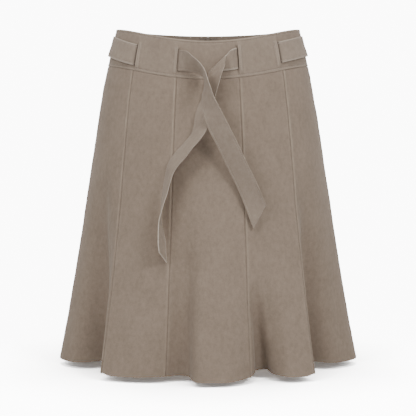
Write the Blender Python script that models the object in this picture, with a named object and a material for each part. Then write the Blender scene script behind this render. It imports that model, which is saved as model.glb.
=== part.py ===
"""A knee-length A-line skirt in suede: nine flared gores, a shaped waistband with four slits,
a sash woven through the slits and crossed at the front, and a concealed zip at the centre back.

Frame: metres, +Z up, front towards -Y. The origin is the middle of the waist opening, level with
the waistband's top edge at the side seams. Run: blender --background --python part.py
"""

import math

import bmesh
import bpy
import numpy as np
from mathutils import Matrix

# ---------------------------------------------------------------- driving sizes, metres
BAND_HEIGHT = 0.060  # waistband, top edge to waist seam
SIDE_LENGTH = 0.541  # whole skirt, measured down the side seam
FRONT_DIP = 0.021  # how far the top edge dips at the centre front
BACK_DIP = 0.007  # and at the centre back
SEAM_GAP = 0.0003  # between neighbouring pieces
PANEL_WALL = 0.0012  # one layer of suede
BAND_WALL = 0.0015  # waistband, two thin layers fused
SASH_WALL = 0.0015
SASH_WIDTH = 0.033
SLIT_LENGTH = 0.036
SLIT_GAP = 0.002
FADE_REACH = 0.015  # how far from a slit the band and the sash still step apart
FRONT_SLIT = 17.2  # degrees round from the centre front
SIDE_SLIT = 45.3
SASH_JOIN = 31.0  # the sash is pieced behind the band, half way between two slits

TAPE_EDGE = 174.33  # the zip's tapes reach round to here, in degrees
TAPE_ROWS = 3  # and this many rows of the gores down, about 180 mm from the top edge
TAPE_WALL = 0.0008
NOTCH_DEPTH = 0.009  # the back edges part here, for the neck of the slider
NOTCH_WIDTH = 0.0028
NECK_SIZE = 0.0016
SLIDER_WIDTH = 0.0052
SLIDER_DEPTH = 0.0026
SLIDER_SPAN = (0.0015, 0.0100)  # from and to, down from the top edge
HINGE_LEVEL = 0.0045  # the pull's bar, down from the top edge
HINGE_OUT = 0.0036  # and off the waistband's face
BAR_RADIUS = 0.00045
BAR_LENGTH = 0.0056
EYE_INNER = 0.0008
EYE_OUTER = 0.0015
EYE_WIDTH = 0.0010
EYE_CENTRE = 0.0017
PULL_LENGTH = 0.0080
PULL_WALL = 0.0010

# Oval sections of the body of the skirt. level is metres down the side seam.
SECTION_COLUMNS = ("level", "half_width", "half_depth")
SECTIONS = (
    (0.000, 0.1495, 0.1130),
    (0.060, 0.1635, 0.1240),
    (0.116, 0.1745, 0.1340),
    (0.242, 0.1945, 0.1520),
    (0.343, 0.2100, 0.1640),
    (0.430, 0.2240, 0.1740),
    (0.541, 0.2445, 0.1860),
)

# Lines that run from the waist seam to the hem, round the skirt. Angles are in degrees from the
# centre front, positive towards +X. A line starts to leave the oval at the level in starts, and
# at the hem it stands out by out, in metres (negative is a valley), and hangs lower by drop.
FOLD_COLUMNS = ("line", "at_waist", "at_hem", "starts", "out", "drop")
FOLDS = (
    ("seam_back_centre", -180.0, -180.0, 0.26, 0.012, 0.002),
    ("valley", -163.0, -163.0, 0.26, -0.024, 0.000),
    ("rise", -151.0, -149.0, 0.24, -0.004, 0.000),
    ("seam_back_left", -134.0, -137.0, 0.24, 0.018, 0.002),
    ("valley", -122.0, -125.0, 0.26, -0.036, -0.002),
    ("rise", -107.0, -108.0, 0.22, -0.014, 0.000),
    ("seam_side_left", -91.0, -91.0, 0.20, 0.002, 0.000),
    ("rise", -75.0, -74.0, 0.20, -0.014, 0.000),
    ("valley", -58.0, -55.5, 0.22, -0.049, -0.003),
    ("flank", -52.0, -47.5, 0.26, -0.030, -0.002),
    ("seam_front_outer_left", -46.3, -40.5, 0.26, 0.014, 0.001),
    ("ridge", -32.0, -30.0, 0.26, 0.012, 0.001),
    ("seam_front_inner_left", -17.3, -15.6, 0.24, -0.004, 0.000),
    ("valley", -10.0, -10.5, 0.24, -0.012, 0.000),
    ("ridge", -2.0, -2.0, 0.24, 0.022, 0.003),
    ("ridge", 5.0, 5.0, 0.24, 0.022, 0.003),
    ("seam_front_inner_right", 17.3, 15.6, 0.34, -0.002, 0.000),
    ("valley", 20.0, 20.5, 0.38, -0.036, -0.003),
    ("flank", 23.0, 25.0, 0.38, -0.028, -0.002),
    ("ridge", 31.0, 31.0, 0.30, 0.014, 0.001),
    ("seam_front_outer_right", 46.3, 40.0, 0.26, 0.017, 0.001),
    ("flank", 52.0, 45.0, 0.26, -0.034, -0.002),
    ("valley", 58.0, 53.0, 0.24, -0.047, -0.003),
    ("rise", 75.0, 72.0, 0.20, -0.020, 0.000),
    ("seam_side_right", 90.0, 90.0, 0.20, 0.002, 0.000),
    ("rise", 107.0, 108.0, 0.22, -0.014, 0.000),
    ("valley", 122.0, 124.0, 0.26, -0.036, -0.002),
    ("seam_back_right", 134.0, 136.0, 0.24, 0.018, 0.002),
    ("rise", 151.0, 150.0, 0.24, -0.006, 0.000),
    ("valley", 163.0, 164.0, 0.26, -0.022, 0.000),
    ("seam_back_centre_end", 180.0, 180.0, 0.26, 0.012, 0.002),
)
FOLD_SHARPNESS = 1.25  # how the folds deepen towards the hem; 1 is a straight cone

GORES = (
    ("gore_front_centre", "seam_front_inner_left", "seam_front_inner_right"),
    ("gore_front_left", "seam_front_outer_left", "seam_front_inner_left"),
    ("gore_front_right", "seam_front_inner_right", "seam_front_outer_right"),
    ("gore_side_left", "seam_side_left", "seam_front_outer_left"),
    ("gore_side_right", "seam_front_outer_right", "seam_side_right"),
    ("gore_side_back_left", "seam_back_left", "seam_side_left"),
    ("gore_side_back_right", "seam_side_right", "seam_back_right"),
    ("gore_back_left", "seam_back_centre", "seam_back_left"),
    ("gore_back_right", "seam_back_right", "seam_back_centre_end"),
)
GORE_ROWS = 12

# The middle of the sash, and so of the slits, down from the top edge.
SASH_LINE = (
    (-180.0, 0.0300),
    (-90.0, 0.0275),
    (-45.3, 0.0355),
    (-17.2, 0.0330),
    (17.2, 0.0300),
    (45.3, 0.0315),
    (90.0, 0.0275),
    (180.0, 0.0300),
)

# The two free ends of the sash from the slit to the slanting cut. The upper and the lower edge
# are placed in the plane of the front, and lower_out is how far the lower edge stands off the
# skirt. The upper edge comes forward by whatever the sash's width leaves over.
TAIL_COLUMNS = ("upper_x", "upper_z", "lower_x", "lower_z", "lower_out")
LEFT_TAIL = (
    (-0.0335, -0.0375, -0.0330, -0.0690, 0.0020),
    (-0.0245, -0.0455, -0.0220, -0.0705, 0.0035),
    (-0.0160, -0.0530, -0.0130, -0.0725, 0.0060),
    (-0.0095, -0.0600, -0.0075, -0.0765, 0.0090),
    (-0.0050, -0.0675, -0.0054, -0.0825, 0.0130),
    (-0.0003, -0.0824, -0.0062, -0.0954, 0.0180),
    (0.0043, -0.0941, -0.0090, -0.1069, 0.0220),
    (0.0090, -0.1064, -0.0103, -0.1192, 0.0245),
    (0.0160, -0.1212, -0.0072, -0.1353, 0.0280),
    (0.0239, -0.1361, -0.0023, -0.1506, 0.0290),
    (0.0317, -0.1510, 0.0042, -0.1653, 0.0260),
    (0.0396, -0.1666, 0.0123, -0.1807, 0.0210),
    (0.0505, -0.1893, 0.0224, -0.2023, 0.0160),
    (0.0619, -0.2133, 0.0340, -0.2263, 0.0120),
    (0.0757, -0.2409, 0.0472, -0.2534, 0.0090),
    (0.0904, -0.2752, 0.0705, -0.3131, 0.0060),
)
RIGHT_TAIL = (
    (0.0375, -0.0345, 0.0335, -0.0672, 0.0020),
    (0.0325, -0.0385, 0.0180, -0.0682, 0.0020),
    (0.0285, -0.0440, 0.0030, -0.0697, 0.0025),
    (0.0265, -0.0455, 0.0000, -0.0712, 0.0055),
    (0.0275, -0.0490, 0.0000, -0.0745, 0.0085),
    (0.0264, -0.0560, -0.0020, -0.0790, 0.0085),
    (0.0216, -0.0711, -0.0035, -0.0850, 0.0070),
    (0.0161, -0.0898, -0.0054, -0.0960, 0.0050),
    (0.0120, -0.1039, -0.0090, -0.1086, 0.0040),
    (0.0080, -0.1190, -0.0165, -0.1250, 0.0030),
    (0.0030, -0.1370, -0.0205, -0.1390, 0.0030),
    (-0.0015, -0.1557, -0.0217, -0.1503, 0.0030),
    (-0.0127, -0.1740, -0.0253, -0.1639, 0.0030),
    (-0.0253, -0.1879, -0.0372, -0.1789, 0.0030),
    (-0.0356, -0.2019, -0.0497, -0.1928, 0.0030),
    (-0.0469, -0.2146, -0.0598, -0.2068, 0.0030),
    (-0.0534, -0.2248, -0.0644, -0.2184, 0.0030),
    (-0.0578, -0.2373, -0.0674, -0.2355, 0.0030),
    (-0.0622, -0.2550, -0.0706, -0.2556, 0.0030),
    (-0.0672, -0.2688, -0.0722, -0.2710, 0.0030),
    (-0.0716, -0.2826, -0.0729, -0.2849, 0.0030),
    (-0.0760, -0.3002, -0.0721, -0.3033, 0.0030),
    (-0.0766, -0.3154, -0.0690, -0.3186, 0.0030),
    (-0.0766, -0.3304, -0.0658, -0.3340, 0.0030),
    (-0.0749, -0.3460, -0.0642, -0.3647, 0.0030),
)
TAIL_STEP = 0.006  # between the cross-sections of a free end


def material(name, colour, roughness, metallic=0.0):
    made = bpy.data.materials.get(name) or bpy.data.materials.new(name)
    made.use_nodes = True
    shader = made.node_tree.nodes["Principled BSDF"]
    shader.inputs["Base Color"].default_value = (*colour, 1.0)
    shader.inputs["Roughness"].default_value = roughness
    shader.inputs["Metallic"].default_value = metallic
    return made


def column(rows, columns, name):
    return [row[columns.index(name)] for row in rows]


def slope_at(xs, ys, k, level_ends):
    if k in (0, len(xs) - 1):
        i = min(k, len(xs) - 2)
        return 0.0 if level_ends else (ys[i + 1] - ys[i]) / (xs[i + 1] - xs[i])
    before = (ys[k] - ys[k - 1]) / (xs[k] - xs[k - 1])
    after = (ys[k + 1] - ys[k]) / (xs[k + 1] - xs[k])
    if before * after <= 0:
        return 0.0
    return 2 * before * after / (before + after)


def smooth_through(xs, ys, x, level_ends=False):
    """A curve through the points that never swings past them (monotone cubic)."""
    x = min(max(x, xs[0]), xs[-1])
    i = min(max(int(np.searchsorted(xs, x)) - 1, 0), len(xs) - 2)
    span = xs[i + 1] - xs[i]
    t = (x - xs[i]) / span
    low = slope_at(xs, ys, i, level_ends) * span
    high = slope_at(xs, ys, i + 1, level_ends) * span
    return (
        ys[i] * (1 + 2 * t) * (1 - t) ** 2
        + low * t * (1 - t) ** 2
        + ys[i + 1] * t * t * (3 - 2 * t)
        + high * t * t * (t - 1)
    )


def smooth_step(t):
    t = min(max(t, 0.0), 1.0)
    return t * t * (3 - 2 * t)


LEVELS = column(SECTIONS, SECTION_COLUMNS, "level")
HALF_WIDTHS = column(SECTIONS, SECTION_COLUMNS, "half_width")
HALF_DEPTHS = column(SECTIONS, SECTION_COLUMNS, "half_depth")
LINES = column(FOLDS, FOLD_COLUMNS, "line")


def below_waist(level):
    """0 at the waist seam and 1 at the hem."""
    return min(max((level - BAND_HEIGHT) / (SIDE_LENGTH - BAND_HEIGHT), 0.0), 1.0)


def line_angle(row, level):
    return row[1] + (row[2] - row[1]) * below_waist(level)


def fold_at(angle, level, what):
    """How far the folds move the skirt at this angle and level, in the column what."""
    angles = [line_angle(row, level) for row in FOLDS]
    reach = []
    for row in FOLDS:
        starts = row[FOLD_COLUMNS.index("starts")]
        grown = max(level - starts, 0.0) / (SIDE_LENGTH - starts)
        reach.append(row[FOLD_COLUMNS.index(what)] * grown**FOLD_SHARPNESS)
    return smooth_through(angles, reach, (angle + 180.0) % 360.0 - 180.0, level_ends=True)


def top_edge(angle):
    """The height of the waistband's top edge."""
    forward = math.cos(math.radians(angle))
    return -FRONT_DIP * max(forward, 0.0) ** 3 - BACK_DIP * max(-forward, 0.0) ** 2


def on_oval(angle, level):
    """A point of the skirt's outer face, folds and all."""
    a = smooth_through(LEVELS, HALF_WIDTHS, level)
    b = smooth_through(LEVELS, HALF_DEPTHS, level)
    s, c = math.sin(math.radians(angle)), math.cos(math.radians(angle))
    outward = np.array([s / a, -c / b])
    outward /= np.linalg.norm(outward)
    x, y = np.array([a * s, -b * c]) + outward * fold_at(angle, level, "out")
    top = top_edge(angle)
    if level <= BAND_HEIGHT:
        z = top - level
    else:
        hem = -SIDE_LENGTH - fold_at(angle, SIDE_LENGTH, "drop")
        z = top - BAND_HEIGHT + (hem - top + BAND_HEIGHT) * below_waist(level)
    return np.array([x, y, z])


def frame_at(angle, level):
    """The point, the outward normal and the direction round the skirt."""
    point = on_oval(angle, level)
    turn, step = 0.15, 0.0015
    round_it = on_oval(angle + turn, level) - on_oval(angle - turn, level)
    down = on_oval(angle, min(level + step, SIDE_LENGTH)) - on_oval(
        angle, max(level - step, 0.0)
    )
    normal = np.cross(down, round_it)
    return point, normal / np.linalg.norm(normal), round_it / np.linalg.norm(round_it)


def on_skin(angle, level, out=0.0, along=0.0):
    """A point of the outer face, moved out along the normal and along round the skirt."""
    point, normal, round_it = frame_at(angle, level)
    return point + normal * out + round_it * along


def sash_level(angle):
    return smooth_through([row[0] for row in SASH_LINE], [row[1] for row in SASH_LINE], angle)


def degrees_for(distance, angle, level=0.031):
    """The angle that this distance round the skirt takes."""
    step = np.linalg.norm(on_oval(angle + 0.5, level) - on_oval(angle - 0.5, level))
    return distance / step


def front_skin(x, z):
    """The point of the skirt's front that lies straight behind x and z."""
    angle, level = math.degrees(math.asin(x / 0.2)), -z - 0.02
    for _ in range(20):
        here = on_oval(angle, level)
        miss = np.array([x - here[0], z - here[2]])
        if max(abs(miss)) < 1e-7:
            break
        turned = (on_oval(angle + 0.05, level) - here) / 0.05
        lowered = (on_oval(angle, level + 0.0005) - here) / 0.0005
        grid = np.array([[turned[0], lowered[0]], [turned[2], lowered[2]]])
        move = np.linalg.solve(grid, miss)
        angle += float(move[0])
        level = min(max(level + float(move[1]), 0.0), SIDE_LENGTH)
    return here


def finish(name, bm, look):
    bmesh.ops.remove_doubles(bm, verts=bm.verts, dist=1e-7)
    loose = [v for v in bm.verts if not v.link_faces]
    bmesh.ops.delete(bm, geom=loose, context="VERTS")
    mesh = bpy.data.meshes.new(name)
    bm.to_mesh(mesh)
    bm.free()
    mesh.shade_smooth()
    mesh.set_sharp_from_angle(angle=math.radians(50))
    if look:
        mesh.materials.append(look)
    made = bpy.data.objects.new(name, mesh)
    bpy.context.scene.collection.objects.link(made)
    return made


def wall(name, outer, inner, look, holes=()):
    """A closed wall between two grids of points. holes lists the cells that are cut right through."""
    bm = bmesh.new()
    rows, cols = len(outer), len(outer[0])
    front = [[bm.verts.new(p) for p in row] for row in outer]
    back = [[bm.verts.new(p) for p in row] for row in inner]
    solid = {(r, c) for r in range(rows - 1) for c in range(cols - 1)} - set(holes)
    for r, c in sorted(solid):
        corners = ((r, c), (r + 1, c), (r + 1, c + 1), (r, c + 1))
        bm.faces.new([front[i][j] for i, j in corners])
        bm.faces.new([back[i][j] for i, j in reversed(corners)])
        beside = ((r, c - 1), (r + 1, c), (r, c + 1), (r - 1, c))
        for k, neighbour in enumerate(beside):
            if neighbour not in solid:
                (i, j), (m, n) = corners[k], corners[(k + 1) % 4]
                bm.faces.new([front[m][n], front[i][j], back[i][j], back[m][n]])
    return finish(name, bm, look)


# ---------------------------------------------------------------- gores


def gore_columns(start, end, level):
    """Angles across a gore at one level: its fold lines, with two or more steps between each."""
    first, last = LINES.index(start), LINES.index(end)
    angles = []
    for i in range(first, last):
        width = FOLDS[i + 1][1] - FOLDS[i][1]
        steps = 3 if width > 6 else 2
        low, high = line_angle(FOLDS[i], level), line_angle(FOLDS[i + 1], level)
        angles += [low + (high - low) * k / steps for k in range(steps)]
    return angles + [line_angle(FOLDS[last], level)]


def gore(name, start, end, look):
    top = BAND_HEIGHT + SEAM_GAP
    outer, inner = [], []
    for r in range(GORE_ROWS):
        level = top + (SIDE_LENGTH - top) * r / (GORE_ROWS - 1)
        angles = gore_columns(start, end, level)
        outer.append([])
        inner.append([])
        for c, angle in enumerate(angles):
            inset = {0: SEAM_GAP / 2, len(angles) - 1: -SEAM_GAP / 2}.get(c, 0.0)
            outer[-1].append(on_skin(angle, level, 0.0, inset))
            inner[-1].append(on_skin(angle, level, -PANEL_WALL, inset))
    return wall(name, outer, inner, look)


# ---------------------------------------------------------------- waistband and sash round it

SLITS = (-SIDE_SLIT, -FRONT_SLIT, FRONT_SLIT, SIDE_SLIT)
OVER = SASH_WALL / 2 + SEAM_GAP + BAND_WALL  # the band's lift where it covers the sash
UNDER = SASH_WALL / 2 + SEAM_GAP  # its dip where the sash lies on it


def slit_fade(angle):
    """1 at the nearest slit, falling to 0 at FADE_REACH from it."""
    nearest = min(abs(angle - slit) / degrees_for(1.0, slit) for slit in SLITS)
    return 1.0 - smooth_step((nearest - SLIT_GAP / 2) / (FADE_REACH - SLIT_GAP / 2))


def covered(angle):
    """True behind the waistband, between a front slit and a side slit."""
    return FRONT_SLIT < abs(angle) < SIDE_SLIT


def band_out(angle, level):
    """How far the band stands off the plain skin."""
    middle = sash_level(angle)
    start, stop = SASH_WIDTH / 2 + 0.0005, min(middle, BAND_HEIGHT - middle)
    upright = 1.0 - smooth_step((abs(level - middle) - start) / (stop - start))
    lift = OVER if covered(angle) else -UNDER
    return lift * slit_fade(angle) * upright


def sash_out(angle):
    """How far the middle of the sash's thickness lies off the plain skin."""
    away = 1.0 - slit_fade(angle)
    return -OVER * away if covered(angle) else UNDER * away


def near_slit(slit, distances=(FADE_REACH, 0.009, 0.004, SLIT_GAP / 2)):
    """Angles on both sides of a slit, closing in on its two lips."""
    steps = [degrees_for(d, slit) for d in distances]
    return [slit - s for s in steps] + [slit + s for s in reversed(steps)]


BACK_ANGLES = [float(a) for a in np.linspace(90.0, 167.0, 12)] + [TAPE_EDGE, 180.0]


def waistband_front(look):
    angles = [-91.0, -82.0, -73.0, -64.0, -56.0, -36.0, -SASH_JOIN, -27.0, -6.0, 6.0]
    angles += [27.0, SASH_JOIN, 36.0, 56.0, 64.0, 73.0, 82.0, 90.0]
    for slit in SLITS:
        angles += near_slit(slit)
    angles = sorted(angles)
    half = SLIT_LENGTH / 2
    outer, inner = [], []
    for r in range(9):
        outer.append([])
        inner.append([])
        for c, angle in enumerate(angles):
            middle = sash_level(angle)
            start, end = middle - half, middle + half
            levels = (0.0, start / 2, start, start + 0.004, middle, end - 0.004, end)
            levels += ((end + BAND_HEIGHT) / 2, BAND_HEIGHT)
            inset = {0: SEAM_GAP / 2, len(angles) - 1: -SEAM_GAP / 2}.get(c, 0.0)
            out = band_out(angle, levels[r])
            outer[-1].append(on_skin(angle, levels[r], out, inset))
            inner[-1].append(on_skin(angle, levels[r], out - BAND_WALL, inset))
    holes = [
        (r, c)
        for r in range(2, 6)
        for c in range(len(angles) - 1)
        if any(angles[c] < slit < angles[c + 1] for slit in SLITS)
    ]
    return wall("waistband_front", outer, inner, look, holes)


def waistband_back(name, angles, look):
    levels = [0.0, 0.0, NOTCH_DEPTH, 0.012, 0.021, 0.030, 0.039, 0.048, BAND_HEIGHT]
    levels[1] = NOTCH_DEPTH - 0.0012
    outer, inner = [], []
    for level in levels:
        opened = NOTCH_WIDTH / 2 if level < NOTCH_DEPTH else SEAM_GAP / 2
        ends = {-180.0: opened, -91.0: -SEAM_GAP / 2, 90.0: SEAM_GAP / 2, 180.0: -opened}
        outer.append([])
        inner.append([])
        for angle in angles:
            inset = ends.get(angle, 0.0)
            outer[-1].append(on_skin(angle, level, 0.0, inset))
            inner[-1].append(on_skin(angle, level, -BAND_WALL, inset))
    return wall(name, outer, inner, look)


def sash_rows(angles, look_in=sash_level):
    """Upper, middle and lower points of the middle of the sash's thickness at these angles."""
    rows = []
    for angle in angles:
        middle = look_in(angle)
        levels = (middle - SASH_WIDTH / 2, middle, middle + SASH_WIDTH / 2)
        rows.append([on_skin(angle, level, sash_out(angle)) for level in levels])
    return rows


def strip(name, rows, look):
    """A closed strip of cloth, SASH_WALL thick, about a grid of points."""
    grid = np.array(rows)
    along = np.gradient(grid, axis=0)
    across = np.gradient(grid, axis=1)
    normal = np.cross(along, across)
    normal /= np.linalg.norm(normal, axis=2, keepdims=True)
    return wall(name, grid + normal * SASH_WALL / 2, grid - normal * SASH_WALL / 2, look)


def sash_round(look):
    """The stretch from behind the band, out of a side slit, round the back and in at the other."""
    join = degrees_for(SEAM_GAP / 2, SASH_JOIN)
    angles = [SASH_JOIN + join, 36.0, 56.0, 64.0, 73.0, 82.0, *BACK_ANGLES[:-1]]
    angles = sorted(angles + near_slit(SIDE_SLIT))
    angles = angles + [180.0] + [-a for a in reversed(angles)]
    angles = [-91.0 if a == -90.0 else a for a in angles]
    outer, inner = [], []
    for angle in angles:
        middle = sash_level(angle)
        levels = (middle - SASH_WIDTH / 2, middle, middle + SASH_WIDTH / 2)
        out = sash_out(angle)
        outer.append([on_skin(angle, level, out + SASH_WALL / 2) for level in levels[::-1]])
        inner.append([on_skin(angle, level, out - SASH_WALL / 2) for level in levels[::-1]])
    return wall("sash_round", outer, inner, look)


def sash_tail(name, table, slit, look):
    """A free end: pieced behind the band, out through a front slit, then hanging at the front."""
    side = math.copysign(1.0, slit)
    join = SASH_JOIN - degrees_for(SEAM_GAP / 2, SASH_JOIN)
    steps = [degrees_for(d, slit) for d in (FADE_REACH, 0.009, 0.004, SLIT_GAP / 2)]
    hidden = [side * join, side * 27.0] + [slit + side * s for s in steps]
    rows = sash_rows(hidden)
    at_slit = sash_rows([slit - side * steps[-1]])[0]
    uppers, lowers = [at_slit[0]], [at_slit[2]]
    for upper_x, upper_z, lower_x, lower_z, lower_out in table:
        lower = np.array([lower_x, front_skin(lower_x, lower_z)[1] - lower_out, lower_z])
        spare = SASH_WIDTH**2 - (upper_x - lower_x) ** 2 - (upper_z - lower_z) ** 2
        uppers.append(np.array([upper_x, lower[1] - math.sqrt(max(spare, 0.0)), upper_z]))
        lowers.append(lower)
    middles = [(u + l) / 2 for u, l in zip(uppers, lowers)]
    gone = [0.0]
    for before, after in zip(middles, middles[1:]):
        gone.append(gone[-1] + float(np.linalg.norm(after - before)))
    count = round(gone[-1] / TAIL_STEP)
    for k in range(count + 1):
        at = gone[-1] * k / count
        upper, lower = (
            np.array([smooth_through(gone, [p[axis] for p in edge], at) for axis in range(3)])
            for edge in (uppers, lowers)
        )
        rows.append([upper, (upper + lower) / 2, lower])
    return strip(name, rows, look)


# ---------------------------------------------------------------- zip at the centre back


def zip_tape(name, side, look):
    """One tape of the zip, flat against the inside of the waistband and the back gore."""
    top = BAND_HEIGHT + SEAM_GAP
    rows = [top + (SIDE_LENGTH - top) * r / (GORE_ROWS - 1) for r in range(TAPE_ROWS + 1)]
    levels = [0.0005, NOTCH_DEPTH - 0.0012, NOTCH_DEPTH, 0.021, 0.030, 0.039, 0.048, *rows]
    depth = BAND_WALL + SEAM_GAP
    outer, inner = [], []
    for level in levels:
        opened = NOTCH_WIDTH / 2 if level < NOTCH_DEPTH else 0.0002
        places = [(180.0, -side * opened), (side * TAPE_EDGE, 0.0)]
        if side < 0:
            places.reverse()
        outer.append([on_skin(angle, level, -depth, along) for angle, along in places[::-1]])
        inner.append(
            [on_skin(angle, level, -depth - TAPE_WALL, along) for angle, along in places[::-1]]
        )
    return wall(name, outer, inner, look)


def rod(name, middle, length, radius, segments=16):
    """A round bar along X."""
    bm = bmesh.new()
    turned = Matrix.Translation(middle) @ Matrix.Rotation(math.radians(90.0), 4, "Y")
    bmesh.ops.create_cone(
        bm, cap_ends=True, segments=segments, radius1=radius, radius2=radius, depth=length,
        matrix=turned,
    )
    return finish(name, bm, None)


def block(name, middle, size, look):
    bm = bmesh.new()
    placed = Matrix.Translation(middle) @ Matrix.Diagonal((*size, 1.0))
    bmesh.ops.create_cube(bm, size=1.0, matrix=placed)
    return finish(name, bm, look)


def combine(made, other, operation):
    """Joins or cuts made with other, which stays as a hidden guide."""
    other.hide_render = True
    other.display_type = "WIRE"
    other.parent = made
    step = made.modifiers.new(other.name, "BOOLEAN")
    step.operation = operation
    step.solver = "EXACT"
    step.object = other


def zip_slider(look):
    """The slider's body behind the tapes, its neck through the notch and the pull's bar."""
    depth = BAND_WALL + TAPE_WALL + 2 * SEAM_GAP
    half = SLIDER_WIDTH / 2
    front, back = (
        [[on_skin(180.0, level, -at, -x) for x in (half, -half)] for level in SLIDER_SPAN]
        for at in (depth, depth + SLIDER_DEPTH)
    )
    made = wall("zip_slider", front, back, look)
    hinge = hinge_point()
    inside = on_skin(180.0, HINGE_LEVEL, -depth - SLIDER_DEPTH / 2)
    reach = hinge[1] - inside[1]
    middle = (0.0, inside[1] + reach / 2, hinge[2])
    combine(made, block("neck", middle, (NECK_SIZE, reach, NECK_SIZE), None), "UNION")
    combine(made, rod("bar", hinge, BAR_LENGTH, BAR_RADIUS), "UNION")
    return made


def zip_pull(look):
    """A short pull with two eyes that hang on the slider's bar."""
    length = PULL_LENGTH - 0.0012
    size = (2 * EYE_CENTRE + EYE_WIDTH, PULL_WALL, length)
    made = block("zip_pull", (0.0, 0.0, -0.0012 - length / 2), size, look)
    for name, side in (("eye_left", -1.0), ("eye_right", 1.0)):
        eye = rod(name, (side * EYE_CENTRE, 0.0, 0.0), EYE_WIDTH, EYE_OUTER)
        combine(made, eye, "UNION")
    combine(made, rod("eye_hole", (0.0, 0.0, 0.0), 0.008, EYE_INNER), "DIFFERENCE")
    made.location = hinge_point()
    return made


def hinge_point():
    skin = on_skin(180.0, HINGE_LEVEL)
    return np.array([0.0, skin[1] + HINGE_OUT, skin[2]])


def build():
    for old in list(bpy.data.objects):
        bpy.data.objects.remove(old)
    suede = material("suede_taupe", (0.296, 0.238, 0.198), 0.9)
    band = material("suede_taupe_band", (0.32, 0.262, 0.22), 0.9)
    sash = material("suede_taupe_sash", (0.33, 0.27, 0.225), 0.9)
    tape = material("zip_tape_taupe", (0.25, 0.2, 0.17), 0.8)
    metal = material("zip_metal_taupe", (0.27, 0.22, 0.19), 0.35, 0.6)
    for name, start, end in GORES:
        gore(name, start, end, suede)
    waistband_front(band)
    waistband_back("waistband_back_left", [-a for a in reversed(BACK_ANGLES[1:])] + [-91.0], band)
    waistband_back("waistband_back_right", BACK_ANGLES, band)
    sash_round(sash)
    sash_tail("sash_left", LEFT_TAIL, -FRONT_SLIT, sash)
    sash_tail("sash_right", RIGHT_TAIL, FRONT_SLIT, sash)
    zip_tape("zip_tape_left", -1.0, tape)
    zip_tape("zip_tape_right", 1.0, tape)
    zip_slider(metal)
    zip_pull(metal)


build()
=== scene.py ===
import math

import bmesh
import bpy
import numpy as np
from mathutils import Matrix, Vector, noise


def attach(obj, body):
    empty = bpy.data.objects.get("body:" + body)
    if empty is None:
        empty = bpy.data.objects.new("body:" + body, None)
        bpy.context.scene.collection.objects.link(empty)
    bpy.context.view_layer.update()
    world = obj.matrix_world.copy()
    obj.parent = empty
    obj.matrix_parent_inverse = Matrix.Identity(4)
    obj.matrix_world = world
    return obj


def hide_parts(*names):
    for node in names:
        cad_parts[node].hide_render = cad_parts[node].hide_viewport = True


# A suede A-line skirt: the frame gives the solids, and each cloth piece is made again here as a
# fine shell on the same form, with its seams, puckers, stitching and nap.

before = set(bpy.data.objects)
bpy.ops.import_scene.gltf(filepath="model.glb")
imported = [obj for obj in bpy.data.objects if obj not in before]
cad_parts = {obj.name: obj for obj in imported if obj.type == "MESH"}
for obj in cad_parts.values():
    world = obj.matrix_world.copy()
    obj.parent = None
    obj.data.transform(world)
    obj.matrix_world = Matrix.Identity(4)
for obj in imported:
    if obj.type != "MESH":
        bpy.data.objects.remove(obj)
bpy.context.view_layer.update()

form = {
    "bandHeight": 0.060,
    "sideLength": 0.541,
    "frontDip": 0.021,  # the top edge dips here and at the back
    "backDip": 0.007,
    "sharpness": 1.25,  # how the folds deepen towards the hem
    "foldsFrom": 0.20,  # no fold starts above this level
}

# level down the side, half the width, half the depth
ovals = np.array((
    (0.000, 0.1495, 0.1130),
    (0.060, 0.1635, 0.1240),
    (0.116, 0.1745, 0.1340),
    (0.242, 0.1945, 0.1520),
    (0.343, 0.2100, 0.1640),
    (0.430, 0.2240, 0.1740),
    (0.541, 0.2445, 0.1860),
))

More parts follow.
